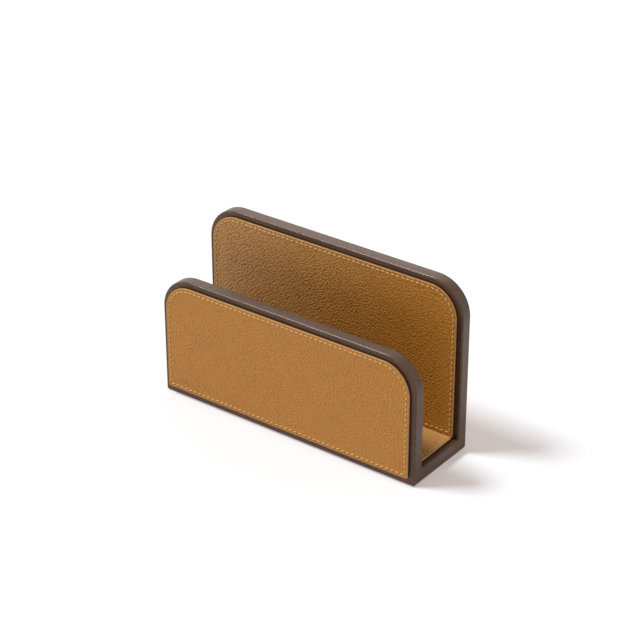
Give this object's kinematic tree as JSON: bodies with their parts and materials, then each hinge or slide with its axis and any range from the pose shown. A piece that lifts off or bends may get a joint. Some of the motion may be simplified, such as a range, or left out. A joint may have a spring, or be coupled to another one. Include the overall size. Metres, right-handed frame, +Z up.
{
  "type": "envelope holder",
  "caption": "Desk holder for envelopes: a low front wall and a higher back wall on a base, rounded upper corners, dark wooden rims round stitched tan leather panels.",
  "frame": {"origin": "middle of the underside, on the surface that the holder stands on", "axes": "+X along the holder, +Y from the low front wall to the high back wall, +Z up"},
  "size_m": [0.24, 0.0758, 0.1424],
  "materials": {
    "stained_wood": "open-pored wood stained dark brown, satin",
    "tan_leather": "pebbled tan leather, satin",
    "fibreboard": "dense fibreboard, matte",
    "thread": "waxed thread, a little lighter than the leather",
    "beech": "plain beech dowel",
    "felt": "dark brown wool felt"
  },
  "bodies": {
    "root": {"front_wall": "stained_wood", "back_wall": "stained_wood", "base_board": "stained_wood", "front_outer_leather": "tan_leather", "front_inner_leather": "tan_leather", "back_inner_leather": "tan_leather", "back_outer_leather": "tan_leather", "base_leather": "tan_leather", "front_outer_stiffener": "fibreboard", "front_inner_stiffener": "fibreboard", "back_inner_stiffener": "fibreboard", "back_outer_stiffener": "fibreboard", "base_stiffener": "fibreboard", "front_outer_stitching": "thread", "front_inner_stitching": "thread", "back_inner_stitching": "thread", "back_outer_stitching": "thread", "base_stitching": "thread", "front_dowels": "beech", "back_dowels": "beech", "underside_felt": "felt"}
  },
  "joints": []
}
